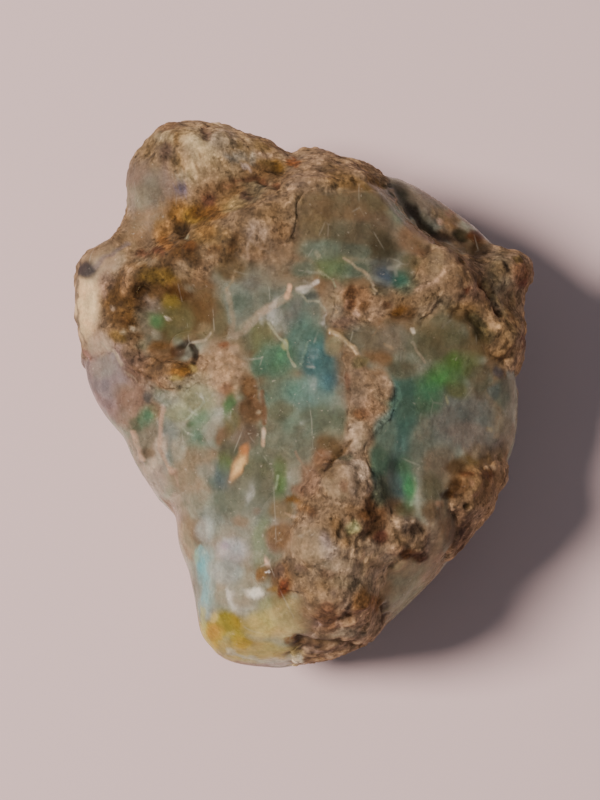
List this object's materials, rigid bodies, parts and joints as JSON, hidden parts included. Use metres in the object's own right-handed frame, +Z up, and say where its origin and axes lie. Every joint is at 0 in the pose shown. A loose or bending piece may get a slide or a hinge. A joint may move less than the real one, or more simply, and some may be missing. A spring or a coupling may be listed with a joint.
{
  "type": "rough opal specimen",
  "caption": "Rough precious opal, a broken translucent nodule with islands of brown host rock left on it, resting on a flat natural break.",
  "frame": {"origin": "centre of the box round the stone, on the flat break that it rests on", "axes": "+Z up from the rest, +Y along the stone towards its broad end with the lobe of rock, +X to the right seen from above"},
  "size_m": [0.0181, 0.0214, 0.0105],
  "materials": {
    "opal": "waxy to glassy natural surface, translucent, with green and blue play of colour",
    "host_rock": "rough, granular, matt, tan to dark brown with ochre and cream patches"
  },
  "bodies": {
    "root": {"opal": "opal", "matrix_crest": "host_rock", "matrix_shoulder": "host_rock", "matrix_tongue": "host_rock", "matrix_heel": "host_rock"}
  },
  "joints": []
}
